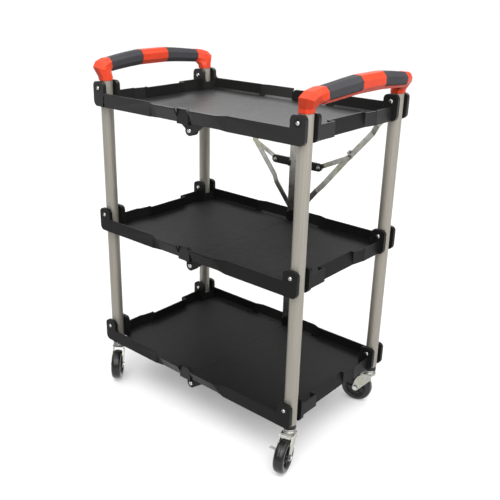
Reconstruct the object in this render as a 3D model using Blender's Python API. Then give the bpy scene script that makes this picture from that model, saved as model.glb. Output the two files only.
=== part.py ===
"""Three-tier folding tool cart.

Every shelf is two identical tray halves hinged together at the middle. The halves swing up
like a roof, the two tube frames close up, and a strut brace at the back locks them open.
X runs along the shelves, Y across them (the brace is at +Y) and Z is up, with the floor at 0.
"""
import math

import bmesh
import bpy
from mathutils import Matrix, Vector

GAP = 0.0004                 # clearance between neighbouring pieces

# Frame
PIN_Z = {"top": 0.744, "middle": 0.444, "bottom": 0.144}   # corner bolts of each shelf
CORNER_X = 0.279             # corner bolts and posts, from the middle hinge
POST_Y = 0.1625
POST_R = 0.0143
POST_BORE_R = 0.0127
POST_Z = (0.1030, 0.7590)
HINGE_DROP = 0.056           # the middle hinges lie this far below the corner bolts
CENTRE_Y = 0.0062            # posts' mid-plane, from the middle of the whole outline

# Trays, heights from the corner bolts
BASE = -0.0410
FLOOR_TOP = -0.0375
RIM = -0.0100
LIP = -0.0115
OUTER_Y = 0.1870
INNER_Y = 0.1376
WALL = 0.0030
EAR_Y = 0.1785               # the post stands between these two ears
INNER_EAR_Y = 0.1465
END_X = 0.2835
FLARE_X = (0.0860, 0.1100)   # the long walls' outward flare eases off between these

PIN_R = 0.0030
HOLE_R = 0.0035

# Handles
GRIP_Y = (0.1385, 0.0410)
SLEEVE = 0.0022

# Back brace, heights of its pivots
TIE_Y = (0.1885, 0.1915)
TIE_HALF = 0.0125
FOOT = Vector((0.0080, 0.4240))
KNEE = Vector((0.1415, 0.5860))
BAR_END = Vector((0.0660, 0.5505))
STRIP = 0.0025
ARM_HALF = 0.0068
BAR_Y = (0.1990, 0.2050)
LINK_Y = (0.2055, 0.2080)
LOWER_ARM_Y = (0.2015, 0.2085)
UPPER_ARM_Y = (0.2115, 0.1910)

# Casters
WHEEL_R = 0.0375
WHEEL_HALF = 0.0118
TRAIL = 0.0290
CHEEK_Y = (0.0127, 0.0147)
BRAKE_PIVOT = (0.0135, 0.0752)
CASTERS = {                  # corner, direction in which the wheel trails
    "front_left": (-1, -1, -50.0),
    "front_right": (1, -1, -74.5),
    "back_left": (-1, 1, -60.0),
    "back_right": (1, 1, -165.0),
}
BRAKED = ("front_right", "back_right")

COLOURS = {
    "black_plastic": ((0.040, 0.040, 0.043), 0.55, 0.0),
    "satin_aluminium": ((0.66, 0.62, 0.57), 0.38, 0.7),
    "orange_plastic": ((0.80, 0.13, 0.05), 0.42, 0.0),
    "grip_rubber": ((0.115, 0.115, 0.125), 0.75, 0.0),
    "zinc": ((0.62, 0.62, 0.60), 0.30, 1.0),
    "tyre": ((0.055, 0.055, 0.058), 0.60, 0.0),
}


def material(name):
    """One Principled material for each finish."""
    found = bpy.data.materials.get(name)
    if found:
        return found
    colour, roughness, metallic = COLOURS[name]
    made = bpy.data.materials.new(name)
    made.use_nodes = True
    shader = made.node_tree.nodes["Principled BSDF"]
    shader.inputs["Base Color"].default_value = (*colour, 1.0)
    shader.inputs["Roughness"].default_value = roughness
    shader.inputs["Metallic"].default_value = metallic
    return made


def to_object(bm, name="tool"):
    """Turn a bmesh into an object with its faces pointing out."""
    bmesh.ops.recalc_face_normals(bm, faces=bm.faces)
    mesh = bpy.data.meshes.new(name)
    bm.to_mesh(mesh)
    bm.free()
    made = bpy.data.objects.new(name, mesh)
    bpy.context.scene.collection.objects.link(made)
    return made


def axis_point(axis, a, b, depth):
    """A point from two outline coordinates and its depth along the axis."""
    if axis == "X":
        return (depth, a, b)
    if axis == "Y":
        return (a, depth, b)
    return (a, b, depth)


def prism(outline, axis, low, high):
    """Extrude a closed outline along an axis."""
    bm = bmesh.new()
    start = [bm.verts.new(axis_point(axis, a, b, low)) for a, b in outline]
    face = bm.faces.new(start)
    grown = bmesh.ops.extrude_face_region(bm, geom=[face])
    move = Vector(axis_point(axis, 0.0, 0.0, high - low))
    tops = [item for item in grown["geom"] if isinstance(item, bmesh.types.BMVert)]
    bmesh.ops.translate(bm, verts=tops, vec=move)
    return to_object(bm)


def box(x, y, z):
    """A block between pairs of limits."""
    return prism([(x[0], y[0]), (x[1], y[0]), (x[1], y[1]), (x[0], y[1])], "Z", z[0], z[1])


def turned(profile, segments, axis="Z", centre=(0.0, 0.0, 0.0)):
    """Turn a closed (radius, height) profile about an axis; radius 0 ends it on the axis."""
    bm = bmesh.new()
    rings = []
    for radius, height in profile:
        if radius == 0.0:
            rings.append([bm.verts.new((0.0, 0.0, height))])
            continue
        ring = []
        for step in range(segments):
            turn = math.tau * step / segments
            ring.append(bm.verts.new((radius * math.cos(turn), radius * math.sin(turn), height)))
        rings.append(ring)
    closed = profile[0][0] > 0.0
    pairs = list(zip(rings, rings[1:])) + ([(rings[-1], rings[0])] if closed else [])
    for low, high in pairs:
        for step in range(segments):
            after = (step + 1) % segments
            corners = [low[step % len(low)], low[after % len(low)],
                       high[after % len(high)], high[step % len(high)]]
            bm.faces.new(list(dict.fromkeys(corners)))
    if axis == "Y":
        bmesh.ops.rotate(bm, verts=bm.verts, matrix=Matrix.Rotation(-math.pi / 2, 3, "X"))
    bmesh.ops.translate(bm, verts=bm.verts, vec=centre)
    return to_object(bm)


def loft(rings):
    """Skin a row of closed rings and cap both ends."""
    bm = bmesh.new()
    rows = [[bm.verts.new(point) for point in ring] for ring in rings]
    for low, high in zip(rows, rows[1:]):
        for step in range(len(low)):
            after = (step + 1) % len(low)
            bm.faces.new((low[step], low[after], high[after], high[step]))
    bm.faces.new(rows[0])
    bm.faces.new(rows[-1])
    return to_object(bm)


def rod(radius, low, high, axis="Y", centre=(0.0, 0.0), segments=10):
    """A round bar along Y at (x, z), or along Z at (x, y)."""
    place = (centre[0], 0.0, centre[1]) if axis == "Y" else (centre[0], centre[1], 0.0)
    profile = [(0.0, low), (radius, low), (radius, high), (0.0, high)]
    return turned(profile, segments, axis, place)


def arc(centre, radius, start, end, steps):
    """Points on an arc, angles in degrees."""
    points = []
    for step in range(steps + 1):
        turn = math.radians(start + (end - start) * step / steps)
        points.append((centre[0] + radius * math.cos(turn), centre[1] + radius * math.sin(turn)))
    return points


def combine(base, tools, operation="UNION"):
    """Join or cut solids one after another and keep the resulting mesh."""
    for tool in tools:
        modifier = base.modifiers.new(operation.title(), "BOOLEAN")
        modifier.operation = operation
        modifier.solver = "EXACT"
        modifier.object = tool
        graph = bpy.context.evaluated_depsgraph_get()
        result = bpy.data.meshes.new_from_object(base.evaluated_get(graph))
        base.modifiers.clear()
        base.data = result
        bpy.data.objects.remove(tool)
    return base


def cut(base, tools):
    """Cut tools out of a solid."""
    return combine(base, tools, "DIFFERENCE")


def merge_flat(piece):
    """Merge neighbouring faces that lie in one plane."""
    bm = bmesh.new()
    bm.from_mesh(piece.data)
    bmesh.ops.dissolve_limit(bm, angle_limit=math.radians(0.2), verts=bm.verts, edges=bm.edges)
    bmesh.ops.triangulate(bm, faces=[face for face in bm.faces if len(face.verts) > 4])
    bm.to_mesh(piece.data)
    bm.free()
    return piece


def empty(name, place, parent=None):
    """An empty that carries the pieces turning about its origin."""
    made = bpy.data.objects.new(name, None)
    made.location = place
    made.parent = parent
    bpy.context.scene.collection.objects.link(made)
    return made


def finish(piece, name, finish_name, parent, place=(0.0, 0.0, 0.0), turn=0.0):
    """Name a piece, give it its material and put it in place."""
    merge_flat(piece)
    piece.name = name
    piece.data.name = name
    piece.data.materials.clear()
    piece.data.materials.append(material(finish_name))
    piece.data.shade_smooth()
    piece.data.set_sharp_from_angle(angle=math.radians(32))
    piece.parent = parent
    piece.location = place
    piece.rotation_euler = (0.0, 0.0, math.radians(turn))
    return piece


def copy(piece, name, parent, place=(0.0, 0.0, 0.0), turn=0.0):
    """Another piece with the same mesh."""
    made = bpy.data.objects.new(name, piece.data)
    bpy.context.scene.collection.objects.link(made)
    made.parent = parent
    made.location = place
    made.rotation_euler = (0.0, 0.0, math.radians(turn))
    return made


def mirrored(points, side):
    """Outline points with their first coordinate on the given side."""
    return [(side * a, b) for a, b in points]


# --- Trays -----------------------------------------------------------------------------------

def ear_outline(start):
    """Side view of a wall end: from start to the rounded ear round the corner bolt."""
    end = CORNER_X + 0.0165
    lower = arc((end - 0.012, BASE + 0.012), 0.012, -90, 0, 3)
    upper = arc((end - 0.010, 0.0045), 0.010, 0, 90, 3)
    inner = arc((CORNER_X - 0.008, 0.0045), 0.010, 90, 180, 2)
    return [(start, BASE), *lower, *upper, *inner, (CORNER_X - 0.018, RIM), (start, RIM)]


def flared_wall(side, start):
    """Long wall's middle part, leaning outward and easing back to the upright wall."""
    flared = [(0.1820, BASE), (0.1970, -0.0135), (0.1965, LIP), (0.1938, -0.0108), (0.1788, BASE)]
    upright = [(0.1867, BASE), (0.1867, -0.0130), (0.1865, -0.0105), (0.1843, -0.0105), (0.1843, BASE)]
    rings = [(start, flared), (FLARE_X[0], flared), (FLARE_X[1], upright)]
    return loft([[(x, side * y, z) for y, z in ring] for x, ring in rings])


def knuckle_outline():
    """Hinge lug that hangs under the floor's end."""
    round_end = arc((0.0, -HINGE_DROP), 0.0115, 100, 322, 7)
    return [*round_end, (0.0400, BASE - 0.0005), (0.0400, -0.0385), (0.0008, -0.0385), (0.0008, -0.0450)]


def end_wall_parts():
    """Short wall: straight at the corners, leaning inward between them."""
    leaning = [(0.2770, BASE), (0.2692, LIP), (0.2662, LIP), (0.2740, BASE)]
    cheek = [(0.2740, BASE), (0.2830, BASE), (0.2830, LIP + 0.0005), (0.2662, LIP)]
    bridge = [(0.2738, 0.0440), (0.2772, 0.0440), (END_X, 0.0800), (0.2800, 0.0800)]
    return [
        box((END_X - WALL, END_X), (-0.1385, -0.0735), (BASE, RIM - 0.001)),
        box((END_X - WALL, END_X), (0.0780, 0.1385), (BASE, RIM - 0.001)),
        prism(leaning, "Y", -0.0755, 0.0465),
        prism(cheek, "Y", -0.0765, -0.0735),
        prism(cheek[:1] + [(0.2772, BASE), (0.2772, LIP + 0.0005)] + cheek[3:], "Y", 0.0435, 0.0470),
        prism(bridge, "Z", BASE, LIP - 0.0005),
    ]


def floor_part():
    """Flat floor with room for the two posts at its outer corners."""
    side = [(0.0002, 0.1815), (FLARE_X[0], 0.1815), (FLARE_X[1], 0.1862), (0.2605, 0.1862),
            (0.2605, 0.1400), (0.2825, 0.1400)]
    far = [*side, (0.2825, 0.0790), (0.2760, 0.0450)]
    near = [(0.2760, -0.0745), (0.2825, -0.0745)] + [(x, -y) for x, y in reversed(side)]
    return prism(far + near, "Z", BASE, FLOOR_TOP)


def tray_half():
    """The +X half of a shelf, built about the corner bolts' axis.

    The halves are the same moulding turned round, so the plain hinge end is at -Y here and
    the end with the hinge block at +Y, and the other way round on the -X half.
    """
    parts = []
    for side in (-1, 1):
        wall = sorted((side * OUTER_Y, side * (OUTER_Y - WALL)))
        ear = sorted((side * OUTER_Y, side * EAR_Y))
        inner_ear = sorted((side * INNER_Y, side * INNER_EAR_Y))
        slot_back = sorted((side * 0.1400, side * 0.1850))
        flare_start = 0.0085 if side < 0 else 0.0255
        parts += [
            box((0.1080, 0.2640), wall, (BASE, RIM)),
            prism(ear_outline(0.2590), "Y", *ear),
            prism(ear_outline(0.2590), "Y", *inner_ear),
            box((0.2592, 0.2620), slot_back, (BASE, -0.0170)),
            flared_wall(side, flare_start),
        ]
    half = combine(floor_part(), parts + end_wall_parts())
    notch = [(-0.0100, -0.0310), (0.0135, -0.0310), (0.0165, 0.0100), (-0.0100, 0.0100)]
    relief = box((-0.0100, 0.0085), (-0.2050, -0.1782), (-0.0500, 0.0100))
    cut(half, [prism(notch, "Y", -0.2050, -0.1782), relief])
    block = [(-0.0070, -0.0435), (0.0270, -0.0435), (0.0270, -0.0120), (0.0010, -0.0120), (-0.0070, -0.0200)]
    combine(half, [
        prism(block, "Y", 0.1785, 0.1875),
        prism(knuckle_outline(), "Y", -0.1780, -0.1700),
        prism(knuckle_outline(), "Y", 0.1615, 0.1695),
    ])
    cut(half, [
        rod(HOLE_R, -0.2000, 0.2000, centre=(CORNER_X, 0.0)),
        rod(HOLE_R, -0.2000, 0.2000, centre=(0.0, -HINGE_DROP)),
    ])
    half.data.transform(Matrix.Translation((-CORNER_X, 0.0, 0.0)))
    return half


# --- Frames and fasteners --------------------------------------------------------------------

def post():
    """Tube with a cross hole for each shelf's corner bolt."""
    low, high = POST_Z
    profile = [(POST_R, low), (POST_R, high), (POST_BORE_R, high), (POST_BORE_R, low)]
    tube = turned(profile, 20)
    return cut(tube, [rod(HOLE_R, -0.02, 0.02, centre=(0.0, height)) for height in PIN_Z.values()])


def bolt(inner, outer, shoulder=None):
    """Round-headed bolt along Y, headed at both ends, with an optional wider middle."""
    profile = [(0.0, inner - 0.0026), (0.0040, inner - 0.0024), (0.0050, inner - GAP), (PIN_R, inner - GAP)]
    if shoulder:
        start, stop = shoulder
        profile += [(PIN_R, start), (0.0052, start), (0.0052, stop), (PIN_R, stop)]
    profile += [(PIN_R, outer + GAP), (0.0050, outer + GAP), (0.0042, outer + 0.0024), (0.0, outer + 0.0030)]
    return turned(profile, 10, "Y")


def handle_sections(side):
    """Cross sections of a handle, each (inner y z), (outer y z), x, half width, cover."""
    elbow = [
        ((0.1480, 0.7597), (0.1770, 0.7597), 0.2790, 0.0145, 0),
        ((0.1479, 0.7670), (0.1778, 0.7680), 0.2800, 0.0150, 0),
        ((0.1466, 0.7730), (0.1858, 0.7885), 0.2855, 0.0176, 0),
        ((0.1440, 0.7750), (0.1745, 0.8000), 0.2900, 0.0182, 0),
        ((0.1420, 0.7754), (0.1550, 0.8056), 0.2940, 0.0172, 0),
        ((GRIP_Y[0] + 0.0007, 0.7757), (GRIP_Y[0] + 0.0040, 0.8063), 0.2962, 0.0156, 0),
        ((GRIP_Y[0] + 0.0004, 0.7757), (GRIP_Y[0] + 0.0037, 0.8063), 0.2963, 0.0156, 1),
        ((0.1100, 0.7780), (0.1110, 0.8100), 0.2995, 0.0158, 1),
        ((0.0780, 0.7806), (0.0785, 0.8136), 0.3012, 0.0162, 1),
        ((GRIP_Y[1] - 0.0004, 0.7829), (GRIP_Y[1] - 0.0004, 0.8168), 0.3025, 0.0165, 1),
        ((GRIP_Y[1] - 0.0007, 0.7829), (GRIP_Y[1] - 0.0007, 0.8168), 0.3025, 0.0165, 0),
    ]
    return [((side * a[0], a[1]), (side * b[0], b[1]), x, half, cover) for a, b, x, half, cover in elbow]


COVERED = [198.0 + 22.5 * step for step in range(14)]      # degrees from the top, outward at 90
BARE = [133.0, 149.0, 165.0, 180.0, 195.5]


def section_point(section, angle, inset):
    """A point on a handle section's soft-cornered outline."""
    inner, outer, x, half, _ = section
    middle = (Vector(inner) + Vector(outer)) / 2.0
    reach = (Vector(outer) - Vector(inner)) / 2.0
    turn = math.radians(angle)
    up = math.copysign(abs(math.cos(turn)) ** 0.85, math.cos(turn))
    out = math.copysign(abs(math.sin(turn)) ** 0.85, math.sin(turn))
    shrink = 1.0 - inset / max(half, 0.001)
    spot = middle + reach * up * shrink
    return (x + half * out * shrink, spot.x, spot.y)


def handle_core():
    """Elbows and bar in one moulding, plugged into both posts."""
    row = handle_sections(-1) + handle_sections(1)[::-1]
    rings = []
    for section in row:
        inset = SLEEVE + GAP if section[4] else 0.0
        covered = [section_point(section, angle, inset) for angle in COVERED]
        rings.append(covered + [section_point(section, angle, 0.0) for angle in BARE])
    core = loft(rings)
    plugs = [rod(0.0123, 0.7515, 0.7640, "Z", (CORNER_X, side * POST_Y), 16) for side in (-1, 1)]
    return combine(core, plugs)


def handle_grip(side):
    """Soft sleeve that wraps all but the lower outer side of the bar."""
    first = GRIP_Y[0]
    last = GRIP_Y[1]
    angles = [200.5, *COVERED[1:-1], COVERED[-1] - 1.5]
    rings = []
    for section in handle_sections(side)[7:11]:
        inner, outer, x, half, cover = section
        near = min(max(abs(inner[0]), last), first)
        far = near + abs(outer[0]) - abs(inner[0])
        moved = ((side * near, inner[1]), (side * far, outer[1]), x, half, cover)
        skin = [section_point(moved, angle, 0.0) for angle in angles]
        lining = [section_point(moved, angle, SLEEVE) for angle in reversed(angles)]
        rings.append(skin + lining)
    return loft(rings)


def on_other_side(piece, name, parent, place):
    """A copy mirrored to the -X side, with its faces still pointing out."""
    mesh = piece.data.copy()
    mesh.transform(Matrix.Scale(-1.0, 4, (1.0, 0.0, 0.0)))
    mesh.flip_normals()
    made = bpy.data.objects.new(name, mesh)
    bpy.context.scene.collection.objects.link(made)
    made.parent = parent
    made.location = place
    return made


# --- Back brace ------------------------------------------------------------------------------

def strip_outline(start, end, half, round_start, round_end):
    """Outline of a flat strip along its own length, with rounded ends where asked."""
    left = arc((start, 0.0), half, 90, 270, 6) if round_start else [(start, half), (start, -half)]
    right = arc((end, 0.0), half, -90, 90, 6) if round_end else [(end, -half), (end, half)]
    return left + right


def joggled_strip(length, start_y, end_y, bend):
    """Flat strip along X from pivot to pivot that steps from one layer to another."""
    first = prism(strip_outline(0.0, bend[0] + 0.002, ARM_HALF, True, False), "Y", start_y, start_y + STRIP)
    second = prism(strip_outline(bend[1] - 0.002, length, ARM_HALF, False, True), "Y", end_y, end_y + STRIP)
    slope = [(bend[0], start_y), (bend[0], start_y + STRIP), (bend[1], end_y + STRIP), (bend[1], end_y)]
    bm = bmesh.new()
    rows = [[bm.verts.new((x, y, side * ARM_HALF)) for x, y in slope] for side in (-1, 1)]
    for step in range(4):
        after = (step + 1) % 4
        bm.faces.new((rows[0][step], rows[0][after], rows[1][after], rows[1][step]))
    bm.faces.new(rows[0])
    bm.faces.new(rows[1])
    return combine(first, [to_object(bm), second])


def aim(piece, start, end):
    """Turn a strip built along X so that it runs from start to end in the XZ plane."""
    run = end - start
    piece.data.transform(Matrix.Rotation(-math.atan2(run.y, run.x), 4, "Y"))
    return piece


def tie_bar():
    """Upright strip at the middle hinges, with the studs that the lower arms turn on."""
    low = PIN_Z["bottom"] - HINGE_DROP
    high = PIN_Z["top"] - HINGE_DROP
    outline = [(z, x) for x, z in strip_outline(low, high, TIE_HALF, True, True)]
    strip = prism(outline, "Y", *TIE_Y)
    studs = []
    for side in (-1, 1):
        spot = (side * FOOT.x, FOOT.y)
        top = LOWER_ARM_Y[0] + STRIP + GAP
        profile = [(0.0, 0.1900), (0.0044, 0.1900), (0.0044, LOWER_ARM_Y[0] - GAP),
                   (PIN_R, LOWER_ARM_Y[0] - GAP), (PIN_R, top), (0.0052, top),
                   (0.0042, top + 0.0018), (0.0, top + 0.0020)]
        studs.append(turned(profile, 10, "Y", (spot[0], 0.0, spot[1])))
    combine(strip, studs)
    return cut(strip, [rod(HOLE_R, 0.1800, 0.2000, centre=(0.0, z - HINGE_DROP)) for z in PIN_Z.values()])


def lower_arm():
    """Arm from the tie bar's stud up to the knee."""
    length = (KNEE - FOOT).length
    arm = joggled_strip(length, LOWER_ARM_Y[0], LOWER_ARM_Y[1], (0.085, 0.105))
    return cut(arm, [rod(HOLE_R, 0.1980, 0.2070)])


def upper_arm():
    """Arm from the shelf's corner bolt down to the knee, with its stop tab."""
    length = (KNEE - Vector((CORNER_X, PIN_Z["top"]))).length
    arm = joggled_strip(length, UPPER_ARM_Y[1], UPPER_ARM_Y[0], (0.085, 0.120))
    outer = UPPER_ARM_Y[0] + STRIP
    rivet = turned([(0.0, outer - 0.001), (0.0048, outer - 0.001), (0.0040, outer + 0.0016),
                    (0.0, outer + 0.0020)], 10, "Y", (length, 0.0, 0.0))
    tab = box((length - 0.0170, length - 0.0080), (UPPER_ARM_Y[0] - 0.0060, outer), (-0.0105, -0.0055))
    combine(arm, [rivet, tab])
    return cut(arm, [rod(HOLE_R, 0.1850, 0.2000)])


def short_link():
    """Link from the release bar's end to the knee, with the pin that it turns on."""
    length = (KNEE - BAR_END).length
    plate = prism(strip_outline(0.0, length, 0.0058, True, True), "Y", *LINK_Y)
    head = BAR_Y[0] - GAP
    pin = turned([(0.0, head - 0.0020), (0.0040, head - 0.0018), (0.0052, head), (PIN_R, head),
                  (PIN_R, LINK_Y[0] + 0.001), (0.0, LINK_Y[0] + 0.001)], 10, "Y")
    return combine(plate, [pin])


def release_bar():
    """Black bar between the short links, with the clip that guides it on the tie bar."""
    outline = strip_outline(-BAR_END.x, BAR_END.x, 0.0100, True, True)
    bar = prism(outline, "Y", *BAR_Y)
    hook = TIE_HALF + GAP + 0.0002
    clip = []
    for side in (-1, 1):
        path = [(side * hook, 0.2000), (side * (hook + 0.0026), 0.2000), (side * (hook + 0.0026), 0.1858),
                (side * (hook - 0.0030), 0.1858), (side * (hook - 0.0030), 0.1880), (side * hook, 0.1880)]
        clip.append(prism(path, "Z", -0.0070, 0.0070))
    combine(bar, clip)
    return cut(bar, [rod(HOLE_R, 0.1950, 0.2100, centre=(side * BAR_END.x, 0.0)) for side in (-1, 1)])


# --- Casters ---------------------------------------------------------------------------------

def caster_stem():
    """Plug in the post's end with its collar, and the neck whose head holds the fork."""
    profile = [(0.0, 0.1400), (0.0115, 0.1400), (0.0123, 0.1380), (0.0123, 0.1026), (0.0138, 0.1026),
               (0.0138, 0.0928), (0.0052, 0.0928), (0.0052, 0.0781), (0.0080, 0.0781),
               (0.0080, 0.0762), (0.0, 0.0755)]
    return turned(profile, 14)


def caster_fork():
    """Race cap, top plate and two tear-shaped cheeks, wheel trailing along +X."""
    tip = arc((TRAIL, WHEEL_R), 0.0078, 210, 350, 4)
    cheek = [(-0.0080, 0.0815), (-0.0085, 0.0690), *tip, (TRAIL + 0.0032, 0.0560), (TRAIL - 0.0025, 0.0680),
             (0.0170, 0.0775), (0.0145, 0.0815)]
    plate = [*arc((0.0, 0.0), 0.0143, 90, 270, 8), (0.0145, -0.0143), (0.0145, 0.0143)]
    parts = [
        prism(cheek, "Y", CHEEK_Y[0], CHEEK_Y[1]),
        prism(cheek, "Y", -CHEEK_Y[1], -CHEEK_Y[0]),
        turned([(0.0, 0.0800), (0.0133, 0.0800), (0.0139, 0.0840), (0.0139, 0.0909), (0.0125, 0.0924),
                (0.0, 0.0924)], 16),
    ]
    fork = combine(prism(plate, "Z", 0.0785, 0.0815), parts)
    return cut(fork, [rod(0.0056, 0.0700, 0.1000, "Z", segments=14),
                      rod(0.0026, -0.0200, 0.0200, centre=BRAKE_PIVOT),
                      rod(0.0044, -0.0200, 0.0200, centre=(TRAIL, WHEEL_R))])


def caster_wheel():
    """Solid tyre with rounded shoulders, dished sides and a hub bore, about its own axis."""
    side = [(0.0044, WHEEL_HALF), (0.0275, WHEEL_HALF - 0.0020), (0.0325, WHEEL_HALF - 0.0006),
            (WHEEL_R, WHEEL_HALF - 0.0052)]
    profile = side + [(radius, -height) for radius, height in reversed(side)]
    return turned(profile, 24, "Y")


def caster_axle():
    """Axle bolt with a domed head and a nut, about its own axis."""
    edge = CHEEK_Y[1] + GAP
    profile = [(0.0, -edge - 0.0032), (0.0045, -edge - 0.0030), (0.0064, -edge), (0.0040, -edge),
               (0.0040, edge), (0.0062, edge), (0.0062, edge + 0.0036), (0.0, edge + 0.0036)]
    return turned(profile, 10, "Y")


def brake_lever():
    """Cross shaft with a pad over the tyre, and a side arm that ends in a curled toe tab."""
    root = Vector((0.0160, -0.0262))
    across = Vector((-root.y, root.x)).normalized() * 0.0030
    arm = [across, -across, root - across, root + across]
    tab = [(-0.0154, -0.0286), (-0.0154, -0.0272), (-0.0190, -0.0264), (-0.0222, -0.0248),
           (-0.0316, -0.0244), (-0.0316, -0.0255), (-0.0226, -0.0260), (-0.0194, -0.0276)]
    return combine(rod(0.0021, -0.0162, 0.0158), [
        prism([(0.0, -0.0010), (0.0095, 0.0010), (0.0095, 0.0025), (0.0, 0.0015)], "Y", -0.0100, 0.0100),
        prism(arm, "Y", -0.0168, -0.0152),
        rod(0.0034, -0.0168, -0.0152),
        prism(tab, "X", 0.0120, 0.0205),
    ])


# --- Assembly --------------------------------------------------------------------------------

def clear_scene():
    """Remove every object of the open file."""
    for old in list(bpy.data.objects):
        bpy.data.objects.remove(old)


def build_frames(cart):
    """Posts, handles and corner bolts of both ends."""
    tube = finish(post(), "post_front_right", "satin_aluminium", cart, (CORNER_X, -POST_Y, 0.0))
    copy(tube, "post_back_right", cart, (CORNER_X, POST_Y, 0.0))
    copy(tube, "post_front_left", cart, (-CORNER_X, -POST_Y, 0.0))
    copy(tube, "post_back_left", cart, (-CORNER_X, POST_Y, 0.0))
    core = finish(handle_core(), "handle_right", "orange_plastic", cart)
    on_other_side(core, "handle_left", cart, (0.0, 0.0, 0.0))
    for side, word in ((-1, "front"), (1, "back")):
        grip = finish(handle_grip(side), f"grip_{word}_right", "grip_rubber", cart)
        on_other_side(grip, f"grip_{word}_left", cart, (0.0, 0.0, 0.0))
    place = (CORNER_X, 0.0, PIN_Z["top"])
    short = finish(bolt(INNER_Y, OUTER_Y), "bolt_top_front_right", "zinc", cart, place, 180.0)
    braced = None
    for tier, height in PIN_Z.items():
        for end, across in (("right", 1), ("left", -1)):
            place = (across * CORNER_X, 0.0, height)
            if (tier, end) != ("top", "right"):
                copy(short, f"bolt_{tier}_front_{end}", cart, place, 180.0)
            if tier != "top":
                copy(short, f"bolt_{tier}_back_{end}", cart, place)
            elif braced is None:
                made = bolt(INNER_Y, UPPER_ARM_Y[1] + STRIP)
                braced = finish(made, f"bolt_top_back_{end}", "zinc", cart, place)
            else:
                copy(braced, f"bolt_top_back_{end}", cart, place)


def build_trays(cart):
    """Both halves of the three shelves and their middle hinge pins."""
    half = None
    front_pin = None
    back_pin = None
    for tier, height in PIN_Z.items():
        hinge = (0.0, 0.0, height - HINGE_DROP)
        if half is None:
            middle = empty("top_hinge_axis", hinge, cart)
            place = (CORNER_X, 0.0, HINGE_DROP)
            half = finish(tray_half(), "tray_top_right", "black_plastic", middle, place)
        else:
            copy(half, f"tray_{tier}_right", cart, (CORNER_X, 0.0, height))
        copy(half, f"tray_{tier}_left", cart, (-CORNER_X, 0.0, height), 180.0)
        if front_pin is None:
            plain = bolt(0.1615, 0.1780)
            front_pin = finish(plain, f"hinge_pin_{tier}_front", "zinc", cart, hinge, 180.0)
            shouldered = bolt(0.1615, TIE_Y[1], (0.1780 + GAP, TIE_Y[0] - GAP))
            back_pin = finish(shouldered, f"hinge_pin_{tier}_back", "zinc", cart, hinge)
        else:
            copy(front_pin, f"hinge_pin_{tier}_front", cart, hinge, 180.0)
            copy(back_pin, f"hinge_pin_{tier}_back", cart, hinge)


def build_brace(cart):
    """Tie bar, arms, links and release bar at the back."""
    finish(tie_bar(), "tie_bar", "zinc", cart)
    finish(release_bar(), "release_bar", "black_plastic", cart, (0.0, 0.0, BAR_END.y))
    corner = Vector((CORNER_X, PIN_Z["top"]))
    for piece, word, start, end in (
        (lower_arm(), "brace_lower", FOOT, KNEE),
        (upper_arm(), "brace_upper", corner, KNEE),
        (short_link(), "brace_link", BAR_END, KNEE),
    ):
        aimed = finish(aim(piece, start, end), f"{word}_right", "zinc", cart, (start.x, 0.0, start.y))
        on_other_side(aimed, f"{word}_left", cart, (-start.x, 0.0, start.y))


def build_casters(cart):
    """A swivelling caster in each post's lower end, with a brake on the two at +X."""
    stem = caster_stem()
    fork = caster_fork()
    wheel = caster_wheel()
    axle = caster_axle()
    lever = brake_lever()
    masters = {"black_plastic": [stem], "tyre": [wheel], "zinc": [fork, axle, lever]}
    for finish_name, pieces in masters.items():
        for piece in pieces:
            finish(piece, "master", finish_name, None)
    for corner, (across, along, heading) in CASTERS.items():
        swivel = empty(f"swivel_axis_{corner}", (across * CORNER_X, along * POST_Y, 0.0), cart)
        swivel.rotation_euler = (0.0, 0.0, math.radians(heading))
        copy(stem, f"caster_stem_{corner}", cart, (across * CORNER_X, along * POST_Y, 0.0))
        copy(fork, f"caster_fork_{corner}", swivel)
        copy(wheel, f"wheel_{corner}", swivel, (TRAIL, 0.0, WHEEL_R))
        copy(axle, f"axle_{corner}", swivel, (TRAIL, 0.0, WHEEL_R))
        if corner in BRAKED:
            copy(lever, f"brake_lever_{corner}", swivel, (BRAKE_PIVOT[0], 0.0, BRAKE_PIVOT[1]))
    for piece in (stem, fork, wheel, axle, lever):
        bpy.data.objects.remove(piece)


def main():
    """Build the whole cart."""
    clear_scene()
    cart = empty("cart", (0.0, CENTRE_Y, 0.0))
    build_frames(cart)
    build_trays(cart)
    build_brace(cart)
    build_casters(cart)


main()
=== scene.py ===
"""Looks of the three-tier folding tool cart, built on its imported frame."""
import math

import bmesh
import bpy
from mathutils import Matrix, Vector


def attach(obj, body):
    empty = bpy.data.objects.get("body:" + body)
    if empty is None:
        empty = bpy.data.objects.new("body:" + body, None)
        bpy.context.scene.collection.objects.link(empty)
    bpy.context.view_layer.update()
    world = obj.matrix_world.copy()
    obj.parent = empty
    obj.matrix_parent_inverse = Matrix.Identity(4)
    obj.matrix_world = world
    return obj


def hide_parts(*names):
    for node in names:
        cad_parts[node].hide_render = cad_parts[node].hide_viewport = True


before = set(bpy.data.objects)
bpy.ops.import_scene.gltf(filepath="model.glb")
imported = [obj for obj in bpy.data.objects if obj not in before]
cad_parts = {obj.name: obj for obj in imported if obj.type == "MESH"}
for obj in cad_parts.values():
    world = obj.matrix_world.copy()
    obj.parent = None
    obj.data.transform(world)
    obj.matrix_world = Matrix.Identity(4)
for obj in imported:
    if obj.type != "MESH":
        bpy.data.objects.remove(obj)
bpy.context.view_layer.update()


# The same dimensions as the solids, in metres. Frame
PIN_Z = {"top": 0.744, "middle": 0.444, "bottom": 0.144}
CORNER_X = 0.279
POST_Y = 0.1625
POST_R = 0.0143
POST_BORE_R = 0.0127
POST_Z = (0.1030, 0.7590)
HINGE_DROP = 0.056
CENTRE_Y = 0.0062
SHANK_R = 0.0031
ORIGIN = (0.0, 0.0, 0.0)

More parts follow.
